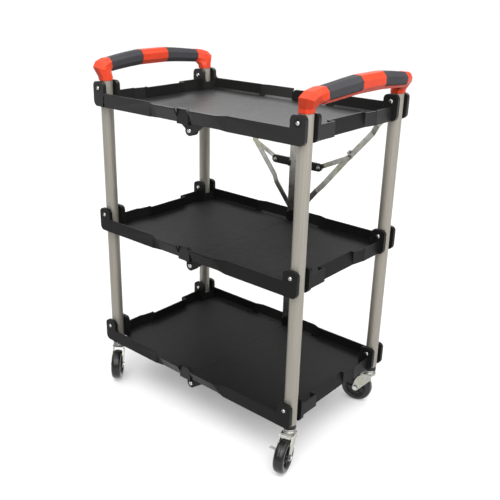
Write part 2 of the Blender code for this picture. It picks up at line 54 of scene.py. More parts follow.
# Trays, with heights from the corner bolts' axis
BASE = -0.0410
FLOOR_TOP = -0.0375
RIM = -0.0100
LIP = -0.0115
OUTER_Y = 0.1870
INNER_Y = 0.1376
WALL = 0.0030
EAR_Y = 0.1785
INNER_EAR_Y = 0.1465
END_X = 0.2835
EAR_START = 0.2590
FLARE_X = (0.0860, 0.1100)
NOTCH_Y = (-0.2050, -0.1782)
COVER_Y = (0.1858, 0.1879)
FRONT_LUG_Y = (-0.1780, -0.1700)
BACK_LUG_Y = (0.1615, 0.1695)
HOLE_R = 0.0037
RECESS_R = 0.0078
RECESS_DEPTH = 0.0008
RIB_HALF = 0.0009
RIB_X = (0.0140, 0.0650, 0.1160, 0.1670, 0.2180, 0.2600)
RIB_Y = (-0.1350, -0.0900, -0.0450, 0.0, 0.0450, 0.0900, 0.1350)
BEYOND = 0.2000

# Handles. Facets are the section's corners, outward and upward from -1 to 1. The starts and stops are
# shares of the way from one corner to the next, where the grip ends and the bar steps in under it
GRIP_Y = (0.1385, 0.0410)
SLEEVE = 0.0022
FACETS = [(1.0, -0.40), (1.0, 0.42), (0.52, 1.0), (-0.52, 1.0), (-1.0, 0.42), (-1.0, -0.40), (-0.52, -1.0),
          (0.0, -1.0), (0.52, -1.0)]
STEP_START = (0.50, 0.56)
STEP_STOP = 0.08
GRIP_START = 0.62
GRIP_STOP = -0.03

# Back brace
TIE_Y = (0.1885, 0.1915)
TIE_HALF = 0.0125
FOOT = Vector((0.0080, 0.4240))
KNEE = Vector((0.1415, 0.5860))
BAR_END = Vector((0.0660, 0.5505))
STRIP = 0.0025
ARM_HALF = 0.0068
BAR_Y = (0.1990, 0.2050)
LINK_Y = (0.2055, 0.2080)
LOWER_ARM_Y = (0.2015, 0.2085)
UPPER_ARM_Y = (0.2115, 0.1910)
PIVOT_HOLE_R = 0.0034
STUD_HOLE_R = 0.0033

# Casters. Each of the four has its side of X, its side of Y and its heading in degrees
WHEEL_R = 0.0375
TRAIL = 0.0290
CHEEK_Y = (0.0127, 0.0147)
PLATE_Z = (0.0785, 0.0815)
BRAKE_PIVOT = (0.0135, 0.0752)
CASTERS = {
    "front_left": (-1, -1, -50.0),
    "front_right": (1, -1, -74.5),
    "back_left": (-1, 1, -60.0),
    "back_right": (1, 1, -165.0),
}
BRAKED = ("front_right", "back_right")


# --- Materials -------------------------------------------------------------------------------

class Shader:
    """A Principled material with a small node vocabulary."""

    def __init__(self, name, colour, roughness, metallic=0.0, **extra):
        self.material = bpy.data.materials.new(name)
        self.material.use_nodes = True
        self.tree = self.material.node_tree
        self.bsdf = self.tree.nodes["Principled BSDF"]
        self.bsdf.inputs["Base Color"].default_value = (*colour, 1.0)
        self.bsdf.inputs["Roughness"].default_value = roughness
        self.bsdf.inputs["Metallic"].default_value = metallic
        for key, value in extra.items():
            self.bsdf.inputs[key.replace("_", " ")].default_value = value
        self.normal = None

    def node(self, kind, **values):
        """A new node with its sockets or its settings given by name."""
        made = self.tree.nodes.new(kind)
        for key, value in values.items():
            if key in made.inputs:
                made.inputs[key].default_value = value
            else:
                setattr(made, key, value)
        return made

    def link(self, source, target):
        """Join two sockets."""
        self.tree.links.new(source, target)

    def place(self, scale=(1.0, 1.0, 1.0)):
        """Object coordinates, stretched."""
        coordinates = self.node("ShaderNodeTexCoord")
        mapping = self.node("ShaderNodeMapping", Scale=scale)
        self.link(coordinates.outputs["Object"], mapping.inputs["Vector"])
        return mapping.outputs["Vector"]

    def noise(self, scale, detail, stretch=(1.0, 1.0, 1.0)):
        """Cloudy noise, from 0 to 1."""
        made = self.node("ShaderNodeTexNoise", Scale=scale, Detail=detail, Roughness=0.55)
        self.link(self.place(stretch), made.inputs["Vector"])
        return made.outputs["Fac"]

    def cells(self, scale):
        """Distance to the nearest of many scattered points."""
        made = self.node("ShaderNodeTexVoronoi", Scale=scale)
        self.link(self.place(), made.inputs["Vector"])
        return made.outputs["Distance"]

    def ramp(self, value, low, high, start=0.3, stop=0.7):
        """Map a value to between two numbers or colours."""
        made = self.node("ShaderNodeValToRGB")
        ends = made.color_ramp.elements
        ends[0].position = start
        ends[1].position = stop
        ends[0].color = low if isinstance(low, tuple) else (low, low, low, 1.0)
        ends[1].color = high if isinstance(high, tuple) else (high, high, high, 1.0)
        self.link(value, made.inputs["Fac"])
        return made.outputs["Color"]

    def bump(self, height, strength, distance):
        """Relief on top of the relief there is."""
        made = self.node("ShaderNodeBump", Strength=strength, Distance=distance)
        self.link(height, made.inputs["Height"])
        if self.normal is not None:
            self.link(self.normal, made.inputs["Normal"])
        self.normal = made.outputs["Normal"]
        self.link(self.normal, self.bsdf.inputs["Normal"])

    def edges(self):
        """Bright where the surface is convex: rubbed edges and a painted highlight on the ridges."""
        geometry = self.node("ShaderNodeNewGeometry")
        return self.ramp(geometry.outputs["Pointiness"], low=0.0, high=1.0, start=0.52, stop=0.66)

    def mix(self, factor, low, high):
        """Blend two colours or colour outputs."""
        made = self.node("ShaderNodeMix", data_type="RGBA")
        self.link(factor, made.inputs[0])
        for socket, value in ((made.inputs[6], low), (made.inputs[7], high)):
            if isinstance(value, tuple):
                socket.default_value = value
            else:
                self.link(value, socket)
        return made.outputs[2]

    def colour(self, output):
        """Drive the base colour."""
        self.link(output, self.bsdf.inputs["Base Color"])

    def rough(self, output):
        """Drive the roughness."""
        self.link(output, self.bsdf.inputs["Roughness"])


def rgba(value, factor):
    """A colour made lighter or darker."""
    return (value[0] * factor, value[1] * factor, value[2] * factor, 1.0)


def moulded(name, colour, roughness, grain, depth, wear_and_highlight, specular):
    """Injection moulded plastic with a spark-eroded grain."""
    shade = Shader(name, colour, roughness, Specular_IOR_Level=specular)
    cloud = shade.noise(14.0, 4.0)
    base = shade.ramp(cloud, rgba(colour, 0.94), rgba(colour, 1.06), 0.35, 0.65)
    # Convex edges are made lighter: partly rubbed plastic, partly a painted highlight on the ridges
    shade.colour(shade.mix(shade.edges(), base, rgba(colour, wear_and_highlight)))
    shade.rough(shade.ramp(shade.noise(60.0, 3.0), roughness - 0.03, roughness + 0.03, 0.35, 0.65))
    shade.bump(shade.noise(grain, 2.0), 0.35, depth)
    return shade.material


def brushed_tube():
    """Satin aluminium drawn along Z."""
    colour = (0.318, 0.296, 0.256)
    shade = Shader("post_aluminium", colour, 0.44, 0.45)
    streaks = shade.noise(9.0, 4.0, (30.0, 30.0, 0.8))
    shade.colour(shade.ramp(streaks, rgba(colour, 0.93), rgba(colour, 1.06)))
    shade.rough(shade.ramp(shade.noise(30.0, 3.0, (8.0, 8.0, 1.0)), 0.38, 0.50))
    shade.bump(shade.noise(900.0, 2.0, (1.0, 1.0, 0.15)), 0.15, 0.0002)
    return shade.material


def spangled_zinc():
    """Galvanised sheet with spangles and yellowish stains."""
    colour = (0.36, 0.357, 0.335)
    shade = Shader("zinc_plate", colour, 0.26, 0.95)
    spangle = shade.ramp(shade.cells(90.0), rgba(colour, 0.86), rgba(colour, 1.10), 0.1, 0.6)
    stain = shade.ramp(shade.noise(14.0, 4.0), 0.0, 0.85, 0.46, 0.60)
    shade.colour(shade.mix(stain, spangle, (0.36, 0.35, 0.26, 1.0)))
    shade.rough(shade.ramp(shade.noise(70.0, 4.0), 0.24, 0.42))
    shade.bump(shade.noise(400.0, 3.0), 0.20, 0.0002)
    return shade.material


def plated(name, colour, metallic):
    """Bright plated steel."""
    shade = Shader(name, colour, 0.22, metallic)
    shade.colour(shade.ramp(shade.noise(60.0, 3.0), rgba(colour, 0.9), rgba(colour, 1.06)))
    shade.rough(shade.ramp(shade.noise(120.0, 3.0), 0.16, 0.30))
    shade.bump(shade.noise(600.0, 2.0), 0.10, 0.0001)
    return shade.material


def make_materials():
    """Every finish on the cart."""
    mouldings = (  # finish, material, colour, roughness, grain scale and depth, edge rub and painted highlight, specular
        ("tray", "tray_plastic", (0.0080, 0.0080, 0.0078), 0.40, 900.0, 0.0003, 1.8, 0.20),
        # Darker, less glossy copy of the tray plastic for the two lower tiers: painted shade from the
        # shelves above
        ("tray_low", "tray_plastic_low", (0.0060, 0.0060, 0.0059), 0.42, 900.0, 0.0003, 1.8, 0.08),
        ("cover", "cover_plastic", (0.006, 0.006, 0.007), 0.35, 700.0, 0.0002, 1.8, 0.20),
        # Near-black collar: in part its own colour, in part painted shade for the gap between post and
        # fork cap
        ("collar", "collar_plastic", (0.010, 0.009, 0.008), 0.40, 700.0, 0.0002, 1.8, 0.30),
        ("orange", "orange_plastic", (0.67, 0.056, 0.021), 0.42, 700.0, 0.0002, 1.10, 0.20),
        ("grip", "grip_rubber", (0.052, 0.051, 0.056), 0.66, 1100.0, 0.0005, 1.5, 0.10),
        ("bar", "bar_plastic", (0.006, 0.006, 0.006), 0.30, 700.0, 0.0002, 1.8, 0.25),
        ("tyre", "tyre_rubber", (0.010, 0.010, 0.010), 0.28, 300.0, 0.0002, 1.6, 0.38),
        ("hub", "hub_plastic", (0.008, 0.008, 0.008), 0.38, 500.0, 0.0002, 1.6, 0.30),
    )
    made = {finish_name: moulded(*values) for finish_name, *values in mouldings}
    made["post"] = brushed_tube()
    made["zinc"] = spangled_zinc()
    made["bright"] = plated("bright_zinc", (0.48, 0.48, 0.465), 1.0)
    made["pressed"] = plated("pressed_zinc", (0.62, 0.62, 0.60), 0.4)
    return made


MATERIALS = make_materials()


# --- Mesh tools ------------------------------------------------------------------------------

def add_to_scene(name, data):
    """A new object in the scene."""
    made = bpy.data.objects.new(name, data)
    bpy.context.scene.collection.objects.link(made)
    return made


def to_object(bm, name="tool"):
    """Turn a bmesh into an object with its faces pointing out."""
    bmesh.ops.recalc_face_normals(bm, faces=bm.faces)
    mesh = bpy.data.meshes.new(name)
    bm.to_mesh(mesh)
    bm.free()
    return add_to_scene(name, mesh)


def axis_point(axis, a, b, depth):
    """A point from two outline coordinates and its depth along the axis."""
    if axis == "X":
        return (depth, a, b)
    if axis == "Y":
        return (a, depth, b)
    return (a, b, depth)


def prism(outline, axis, low, high):
    """Extrude a closed outline along an axis."""
    bm = bmesh.new()
    start = [bm.verts.new(axis_point(axis, a, b, low)) for a, b in outline]
    face = bm.faces.new(start)
    grown = bmesh.ops.extrude_face_region(bm, geom=[face])
    move = Vector(axis_point(axis, 0.0, 0.0, high - low))
    tops = [item for item in grown["geom"] if isinstance(item, bmesh.types.BMVert)]
    bmesh.ops.translate(bm, verts=tops, vec=move)
    return to_object(bm)


def box(x, y, z):
    """A block between pairs of limits."""
    return prism([(x[0], y[0]), (x[1], y[0]), (x[1], y[1]), (x[0], y[1])], "Z", z[0], z[1])


def turned(profile, segments, axis="Z", centre=ORIGIN):
    """Turn a closed (radius, height) profile about an axis; radius 0 ends it on the axis."""
    bm = bmesh.new()
    rings = []
    for radius, height in profile:
        if radius == 0.0:
            rings.append([bm.verts.new((0.0, 0.0, height))])
            continue
        ring = []
        for step in range(segments):
            turn = math.tau * step / segments
            ring.append(bm.verts.new((radius * math.cos(turn), radius * math.sin(turn), height)))
        rings.append(ring)
    closed = profile[0][0] > 0.0
    pairs = list(zip(rings, rings[1:])) + ([(rings[-1], rings[0])] if closed else [])
    for low, high in pairs:
        for step in range(segments):
            after = (step + 1) % segments
            corners = [low[step % len(low)], low[after % len(low)],
                       high[after % len(high)], high[step % len(high)]]
            bm.faces.new(list(dict.fromkeys(corners)))
    if axis == "Y":
        bmesh.ops.rotate(bm, verts=bm.verts, matrix=Matrix.Rotation(-math.pi / 2, 3, "X"))
    bmesh.ops.translate(bm, verts=bm.verts, vec=centre)
    return to_object(bm)


def loft(rings):
    """Skin a row of closed rings and cap both ends."""
    bm = bmesh.new()
    rows = [[bm.verts.new(point) for point in ring] for ring in rings]
    for low, high in zip(rows, rows[1:]):
        for step in range(len(low)):
            after = (step + 1) % len(low)
            bm.faces.new((low[step], low[after], high[after], high[step]))
    bm.faces.new(rows[0])
    bm.faces.new(rows[-1])
    return to_object(bm)


def rod(radius, low, high, axis="Y", centre=(0.0, 0.0)):
    """A round bar along Y at (x, z), or along Z at (x, y)."""
    place = (centre[0], 0.0, centre[1]) if axis == "Y" else (centre[0], centre[1], 0.0)
    return turned([(0.0, low), (radius, low), (radius, high), (0.0, high)], 32, axis, place)


def arc(centre, radius, start, end, steps):
    """Points on an arc, angles in degrees."""
    points = []
    for step in range(steps + 1):
        turn = math.radians(start + (end - start) * step / steps)
        points.append((centre[0] + radius * math.cos(turn), centre[1] + radius * math.sin(turn)))
    return points


def combine(base, tools, operation="UNION"):
    """Join or cut solids one after another and keep the resulting mesh."""
    for tool in tools:
        modifier = base.modifiers.new(operation.title(), "BOOLEAN")
        modifier.operation = operation
        modifier.solver = "EXACT"
        modifier.object = tool
        graph = bpy.context.evaluated_depsgraph_get()
        result = bpy.data.meshes.new_from_object(base.evaluated_get(graph))
        base.modifiers.clear()
        base.data = result
        bpy.data.objects.remove(tool)
    return base


def cut(base, tools):
    """Cut tools out of a solid."""
    return combine(base, tools, "DIFFERENCE")


def join(base, tools):
    """Merge meshes into one object without a Boolean."""
    bm = bmesh.new()
    bm.from_mesh(base.data)
    for tool in tools:
        bm.from_mesh(tool.data)
        bpy.data.objects.remove(tool)
    bm.to_mesh(base.data)
    bm.free()
    return base


def smooth(piece, sharp=35.0):
    """Shade smooth, except at edges over an angle in degrees."""
    piece.data.shade_smooth()
    piece.data.set_sharp_from_angle(angle=math.radians(sharp))
    return piece


def soften(piece, width, segments=2, angle=28.0, crisp_below=-math.inf):
    """Clean coplanar faces, then round every edge a little, except those at X under a limit."""
    bm = bmesh.new()
    bm.from_mesh(piece.data)
    bmesh.ops.remove_doubles(bm, verts=bm.verts, dist=0.00002)
    bmesh.ops.dissolve_limit(bm, angle_limit=math.radians(0.3), verts=bm.verts, edges=bm.edges)
    weight = bm.edges.layers.float.new("bevel_weight_edge")
    for edge in bm.edges:
        crisp = all(vert.co.x < crisp_below for vert in edge.verts)
        if len(edge.link_faces) == 2 and not crisp and edge.calc_face_angle() > math.radians(angle):
            edge[weight] = 1.0
    bm.to_mesh(piece.data)
    bm.free()
    bevel = piece.modifiers.new("Bevel", "BEVEL")
    bevel.width = width
    bevel.segments = segments
    bevel.limit_method = "WEIGHT"
    bevel.use_clamp_overlap = True
    bevel.harden_normals = True
    return smooth(piece, 40.0)


def finish(piece, finish_name):
    """Give a mesh its material, and remember which for its slot."""
    piece.data.materials.clear()
    piece.data.materials.append(MATERIALS[finish_name])
    piece["finish"] = finish_name
    return piece


def put(master, name, body, place, turn=0.0, stands_for=None, mirror=False):
    """A copy of a master piece, placed, riding on a body and standing for a CAD node."""
    data = master.data
    if mirror:
        data = master.data.copy()
        data.transform(Matrix.Scale(-1.0, 4, (1.0, 0.0, 0.0)))
        data.flip_normals()
    piece = add_to_scene(name, data)
    for source in master.modifiers:
        copied = piece.modifiers.new(source.name, source.type)
        for prop in source.bl_rna.properties:
            if not prop.is_readonly and prop.identifier not in ("name", "type"):
                setattr(copied, prop.identifier, getattr(source, prop.identifier))
    piece.location = (place[0], place[1] + CENTRE_Y, place[2])
    piece.rotation_euler = (0.0, 0.0, math.radians(turn))
    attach(piece, body)
    if stands_for:
        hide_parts(stands_for)
    return piece


def mirrored(points, side):
    """Outline points with their first coordinate on the given side."""
    return [(side * a, b) for a, b in points]


# --- Trays -----------------------------------------------------------------------------------

def ear_outline():
    """Side view of a wall's end, with the rounded ear round the corner bolt."""
    end = CORNER_X + 0.0165
    lower = arc((end - 0.012, BASE + 0.012), 0.012, -90, 0, 10)
    upper = arc((end - 0.010, 0.0045), 0.010, 0, 90, 8)
    inner = arc((CORNER_X - 0.008, 0.0045), 0.010, 90, 180, 8)
    return [(EAR_START, BASE), *lower, *upper, *inner, (CORNER_X - 0.018, RIM), (EAR_START, RIM)]


def flared_wall(side, start):
    """Long wall's middle part, leaning outward and easing back to the upright wall."""
    flared = [(0.1820, BASE), (0.1970, -0.0135), (0.1965, LIP), (0.1938, -0.0108), (0.1788, BASE)]
    upright = [(0.1867, BASE), (0.1867, -0.0130), (0.1865, -0.0105), (0.1843, -0.0105),
               (0.1843, BASE)]
    rings = [(start, flared), (FLARE_X[0], flared), (FLARE_X[1], upright)]
    return loft([[(x, side * y, z) for y, z in ring] for x, ring in rings])


def knuckle_outline():
    """Hinge lug that hangs under the floor's end."""
    round_end = arc((0.0, -HINGE_DROP), 0.0115, 100, 322, 22)
    return [*round_end, (0.0400, BASE - 0.0005), (0.0400, -0.0385), (0.0008, -0.0385),
            (0.0008, -0.0450)]


def end_wall_parts():
    """Short wall: straight at the corners, leaning inward between them."""
    leaning = [(0.2770, BASE), (0.2692, LIP), (0.2662, LIP), (0.2740, BASE)]
    cheek = [(0.2740, BASE), (0.2830, BASE), (0.2830, LIP + 0.0005), (0.2662, LIP)]
    low_cheek = [(0.2740, BASE), (0.2772, BASE), (0.2772, LIP + 0.0005), (0.2662, LIP)]
    bridge = [(0.2738, 0.0440), (0.2772, 0.0440), (END_X, 0.0800), (0.2800, 0.0800)]
    return [
        box((END_X - WALL, END_X), (-0.1385, -0.0735), (BASE, RIM - 0.001)),
        box((END_X - WALL, END_X), (0.0780, 0.1385), (BASE, RIM - 0.001)),
        prism(leaning, "Y", -0.0755, 0.0465),
        prism(cheek, "Y", -0.0765, -0.0735),
        prism(low_cheek, "Y", 0.0435, 0.0470),
        prism(bridge, "Z", BASE, LIP - 0.0005),
    ]


def floor_part():
    """Flat floor with room for the two posts at its outer corners."""
    side = [(0.0002, 0.1815), (FLARE_X[0], 0.1815), (FLARE_X[1], 0.1862), (0.2605, 0.1862),
            (0.2605, 0.1400), (0.2825, 0.1400)]
    far = [*side, (0.2825, 0.0790), (0.2760, 0.0450)]
    near = [(0.2760, -0.0745), (0.2825, -0.0745)] + [(x, -y) for x, y in reversed(side)]
    return prism(far + near, "Z", BASE, FLOOR_TOP)


def corner_fillets(side):
    """Sloping strips where the floor meets the walls, inside the tray."""
    reach = 0.0045
    low = FLOOR_TOP - 0.0003
    straight = mirrored([(0.1842, low), (0.1842 - reach, low), (0.1842, low + reach)], side)
    flared = mirrored([(0.1800, low), (0.1800 - reach, low), (0.1825, low + reach)], side)
    return [prism(straight, "X", FLARE_X[1], 0.2600),
            prism(flared, "X", 0.0030 if side < 0 else 0.0260, FLARE_X[0] + 0.004)]


def underside_ribs():
    """Stiffening ribs under the floor."""
    depth = (BASE - 0.0050, BASE + 0.0010)
    ribs = [box((RIB_X[0], RIB_X[-1]), (y - RIB_HALF, y + RIB_HALF), depth) for y in RIB_Y]
    ribs += [box((x - RIB_HALF, x + RIB_HALF), (-0.1500, 0.1500), depth) for x in RIB_X]
    return ribs


def tray_half(finish_name):
    """The +X half of a shelf, built about the corner bolts' axis."""
    parts = []
    for side in (-1, 1):
        wall = sorted((side * OUTER_Y, side * (OUTER_Y - WALL)))
        ear = sorted((side * OUTER_Y, side * EAR_Y))
        inner_ear = sorted((side * INNER_Y, side * INNER_EAR_Y))
        slot_back = sorted((side * 0.1400, side * 0.1850))
        flare_start = 0.0085 if side < 0 else 0.0255
        parts += [
            box((0.1080, 0.2640), wall, (BASE, RIM)),
            prism(ear_outline(), "Y", *ear),
            prism(ear_outline(), "Y", *inner_ear),
            box((0.2592, 0.2620), slot_back, (BASE, -0.0170)),
            flared_wall(side, flare_start),
            *corner_fillets(side),
        ]
    half = combine(floor_part(), parts + end_wall_parts())
    notch = [(-0.0100, -0.0310), (0.0135, -0.0310), (0.0165, 0.0100), (-0.0100, 0.0100)]
    relief = box((-0.0100, 0.0085), NOTCH_Y, (-0.0500, 0.0100))
    cut(half, [prism(notch, "Y", *NOTCH_Y), relief])
    block = [(-0.0070, -0.0435), (0.0270, -0.0435), (0.0270, -0.0120), (0.0010, -0.0120),
             (-0.0070, -0.0200)]
    combine(half, [
        prism(block, "Y", 0.1785, 0.1865),
        prism(knuckle_outline(), "Y", *FRONT_LUG_Y),
        prism(knuckle_outline(), "Y", *BACK_LUG_Y),
        *underside_ribs(),
    ])
    holes = []
    for side in (-1, 1):
        face = side * OUTER_Y
        holes.append(rod(RECESS_R, face - RECESS_DEPTH, face + RECESS_DEPTH, centre=(CORNER_X, 0.0)))
    for centre in ((CORNER_X, 0.0), (0.0, -HINGE_DROP)):
        holes.append(rod(HOLE_R, -BEYOND, BEYOND, centre=centre))
    cut(half, holes)
    half.data.transform(Matrix.Translation((-CORNER_X, 0.0, 0.0)))
    return finish(soften(half, 0.0007, crisp_below=0.0010 - CORNER_X), finish_name)


def seam_strip():
    """Thin strip under a half's floor that closes the seam along half of its length."""
    outline = [(-0.0007, BASE - 0.0008), (0.0060, BASE - 0.0008), (0.0060, BASE + 0.0003),
               (0.0006, BASE + 0.0003), (0.0006, BASE - 0.0002), (-0.0007, BASE - 0.0002)]
    strip = prism(outline, "Y", 0.0002, 0.1600)
    strip.data.transform(Matrix.Translation((-CORNER_X, 0.0, 0.0)))
    # The strip takes the darker copy of the tray plastic, with its painted shade
    return finish(strip, "tray_low")


def hinge_cover():
    """Dark cover block at the end of a tray half's wall."""
    outline = [(-0.0068, -0.0433), (0.0268, -0.0433), (0.0268, -0.0122), (0.0012, -0.0122),
               (-0.0068, -0.0202)]
    cover = prism(outline, "Y", *COVER_Y)
    cover.data.transform(Matrix.Translation((-CORNER_X, 0.0, 0.0)))
    return finish(soften(cover, 0.0009, 3), "cover")


# --- Frames ----------------------------------------------------------------------------------

def post():
    """Tube with rounded ends, without bolt holes: the trays' ears cover where they would be."""
    low, high = POST_Z
    edge = 0.0004
    profile = [(POST_R - edge, low), (POST_R, low + edge), (POST_R, high - edge), (POST_R - edge, high),
               (POST_BORE_R, high), (POST_BORE_R, low)]
    return finish(soften(turned(profile, 64), 0.0001, 1, 60.0), "post")


def bolt(inner, outer, head, shoulder=None):
    """Round-headed bolt along Y with a driving recess, a domed nut and sometimes a shoulder."""
    shank = [(0.0, inner - 0.0026), (0.0026, inner - 0.0026), (0.0040, inner - 0.0021),
             (0.0048, inner - 0.0010), (0.0050, inner - 0.0004), (SHANK_R, inner - 0.0004),
             (SHANK_R, outer - 0.0006)]
    dome = [(head - 0.0002, outer - 0.0006), (head, outer + 0.0004), (head - 0.0002, outer + 0.0012),
            (head * 0.8, outer + 0.0022), (head * 0.6, outer + 0.0028)]
    recess = [(0.0022, outer + 0.0029), (0.0019, outer + 0.0014), (0.0, outer + 0.0014)]
    parts = [turned(shank + dome + recess, 32, "Y")]
    if shoulder:
        start, stop = shoulder
        ring = [(SHANK_R, start), (0.0052, start), (0.0052, stop), (SHANK_R, stop)]
        parts.append(turned(ring, 32, "Y"))
    return finish(smooth(join(parts[0], parts[1:])), "bright")


def ear_washer():
    """Thin washer in an ear's recess, under a corner bolt's head."""
    ring = [(0.0034, OUTER_Y - 0.0007), (0.0072, OUTER_Y - 0.0007), (0.0072, OUTER_Y + 0.0001),
            (0.0034, OUTER_Y + 0.0001)]
    return finish(soften(turned(ring, 32, "Y"), 0.0002, 1, 40.0), "cover")


def handle_sections(side):
    """Handle sections: (inner y z), (outer y z), x, half width, covered by the grip."""
    elbow = [
        ((0.1480, 0.7597), (0.1770, 0.7597), 0.2790, 0.0145, 0),
        ((0.1479, 0.7670), (0.1778, 0.7680), 0.2800, 0.0150, 0),
        ((0.1466, 0.7730), (0.1858, 0.7885), 0.2855, 0.0176, 0),
        ((0.1440, 0.7750), (0.1745, 0.8000), 0.2900, 0.0182, 0),
        ((0.1420, 0.7754), (0.1550, 0.8056), 0.2940, 0.0172, 0),
        ((GRIP_Y[0] + 0.0007, 0.7757), (GRIP_Y[0] + 0.0040, 0.8063), 0.2962, 0.0156, 0),
        ((GRIP_Y[0] + 0.0004, 0.7757), (GRIP_Y[0] + 0.0037, 0.8063), 0.2963, 0.0156, 1),
        ((0.1100, 0.7780), (0.1110, 0.8100), 0.2995, 0.0158, 1),
        ((0.0780, 0.7806), (0.0785, 0.8136), 0.3012, 0.0162, 1),
        ((GRIP_Y[1] - 0.0004, 0.7829), (GRIP_Y[1] - 0.0004, 0.8168), 0.3025, 0.0165, 1),
        ((GRIP_Y[1] - 0.0007, 0.7829), (GRIP_Y[1] - 0.0007, 0.8168), 0.3025, 0.0165, 0),
    ]
    return [((side * inner[0], inner[1]), (side * outer[0], outer[1]), *rest)
            for inner, outer, *rest in elbow]


def section_point(section, spot, inset):
    """A corner of a handle section, set in by a margin; the spot is given as in FACETS."""
    inner, outer, x, half, _ = section
    middle = (Vector(inner) + Vector(outer)) / 2.0
    reach = (Vector(outer) - Vector(inner)) / 2.0
    shrink_out = 1.0 - inset / half
    shrink_up = 1.0 - inset / reach.length
    place = middle + reach * spot[1] * shrink_up
    return (x + half * spot[0] * shrink_out, place.x, place.y)


def between(a, b, share):
    """A spot part of the way from one corner to the next."""
    return (a[0] + (b[0] - a[0]) * share, a[1] + (b[1] - a[1]) * share)


def handle_core():
    """Elbows and bar in one faceted moulding, plugged into both posts."""
    row = handle_sections(-1) + handle_sections(1)[::-1]
    rings = []
    for section in row:
        inset = SLEEVE + 0.0003 if section[4] else 0.0
        ring = [section_point(section, between(FACETS[8], FACETS[0], STEP_START[0]), 0.0),
                section_point(section, between(FACETS[8], FACETS[0], STEP_START[1]), inset)]
        ring += [section_point(section, spot, inset) for spot in FACETS[:8]]
        ring += [section_point(section, between(FACETS[7], FACETS[8], STEP_STOP), 0.0),
                 section_point(section, FACETS[8], 0.0)]
        rings.append(ring)
    core = loft(rings)
    plugs = [rod(0.0123, 0.7515, 0.7640, "Z", (CORNER_X, side * POST_Y)) for side in (-1, 1)]
    combine(core, plugs)
    return finish(soften(core, 0.0014, 3, 12.0), "orange")


def handle_grip(side):
    """Soft sleeve that wraps all but the lower outer side of the bar."""
    first, last = GRIP_Y
    rings = []
    for section in handle_sections(side)[6:10]:
        inner, outer, x, half, cover = section
        near = min(max(abs(inner[0]), last), first)
        far = near + abs(outer[0]) - abs(inner[0])
        moved = ((side * near, inner[1]), (side * far, outer[1]), x, half, cover)
        start = between(FACETS[8], FACETS[0], GRIP_START)
        stop = between(FACETS[7], FACETS[8], GRIP_STOP)
        path = [start, *FACETS[:7], stop]
        skin = [section_point(moved, spot, 0.0) for spot in path]
        lining = [section_point(moved, spot, SLEEVE) for spot in reversed(path)]
        rings.append(skin + lining)
    return finish(soften(loft(rings), 0.0010, 3, 14.0), "grip")


# --- Back brace ------------------------------------------------------------------------------

def strip_outline(start, end, half, round_start=True, round_end=True):
    """Outline of a flat strip along its own length, with rounded ends where asked."""
    left = arc((start, 0.0), half, 90, 270, 16) if round_start else [(start, half), (start, -half)]
    right = arc((end, 0.0), half, -90, 90, 16) if round_end else [(end, -half), (end, half)]
    return left + right


def joggled_strip(length, start_y, end_y, bend):
    """Flat strip along X from pivot to pivot that steps from one layer to another."""
    overlap = 0.002
    first = strip_outline(0.0, bend[0] + overlap, ARM_HALF, round_end=False)
    second = strip_outline(bend[1] - overlap, length, ARM_HALF, round_start=False)
    slope = [(bend[0], start_y), (bend[0], start_y + STRIP), (bend[1], end_y + STRIP), (bend[1], end_y)]
    bm = bmesh.new()
    rows = [[bm.verts.new((x, y, side * ARM_HALF)) for x, y in slope] for side in (-1, 1)]
    for step in range(4):
        after = (step + 1) % 4
        bm.faces.new((rows[0][step], rows[0][after], rows[1][after], rows[1][step]))
    bm.faces.new(rows[0])
    bm.faces.new(rows[1])
    start = prism(first, "Y", start_y, start_y + STRIP)
    end = prism(second, "Y", end_y, end_y + STRIP)
    return combine(start, [to_object(bm), end])


def aim(piece, start, end):
    """Turn a strip built along X so that it runs from start to end in the XZ plane."""
    run = end - start
    piece.data.transform(Matrix.Rotation(-math.atan2(run.y, run.x), 4, "Y"))
    return piece


def rivet(y, x=0.0, radius=0.0050, height=0.0020):
    """Domed rivet head on the face at y, towards +Y."""
    profile = [(0.0, y - 0.0005), (radius, y - 0.0005), (radius, y + height * 0.25),
               (radius * 0.85, y + height * 0.7), (radius * 0.55, y + height * 0.95), (0.0, y + height)]
    return turned(profile, 28, "Y", (x, 0.0, 0.0))


def tie_bar():
    """Upright strip at the middle hinges, with the studs that the lower arms turn on."""
    low = PIN_Z["bottom"] - HINGE_DROP
    high = PIN_Z["top"] - HINGE_DROP
    outline = [(z, x) for x, z in strip_outline(low, high, TIE_HALF)]
    strip = prism(outline, "Y", *TIE_Y)
    holes = [rod(PIVOT_HOLE_R, 0.1800, BEYOND, centre=(0.0, z - HINGE_DROP)) for z in PIN_Z.values()]
    cut(strip, holes)
    soften(strip, 0.0005)
    seat = LOWER_ARM_Y[0] - 0.0004
    top = LOWER_ARM_Y[0] + STRIP + 0.0004
    profile = [(0.0, 0.1910), (0.0046, 0.1910), (0.0044, seat), (0.0030, seat), (0.0030, top),
               (0.0052, top), (0.0050, top + 0.0008), (0.0034, top + 0.0018), (0.0, top + 0.0020)]
    studs = [turned(profile, 28, "Y", (side * FOOT.x, 0.0, FOOT.y)) for side in (-1, 1)]
    return finish(join(strip, studs), "zinc")


def lower_arm():
    """Arm from the tie bar's stud up to the knee."""
    length = (KNEE - FOOT).length
    arm = joggled_strip(length, LOWER_ARM_Y[0], LOWER_ARM_Y[1], (0.085, 0.105))
    cut(arm, [rod(STUD_HOLE_R, 0.1980, 0.2070)])
    return finish(soften(arm, 0.0004), "zinc")


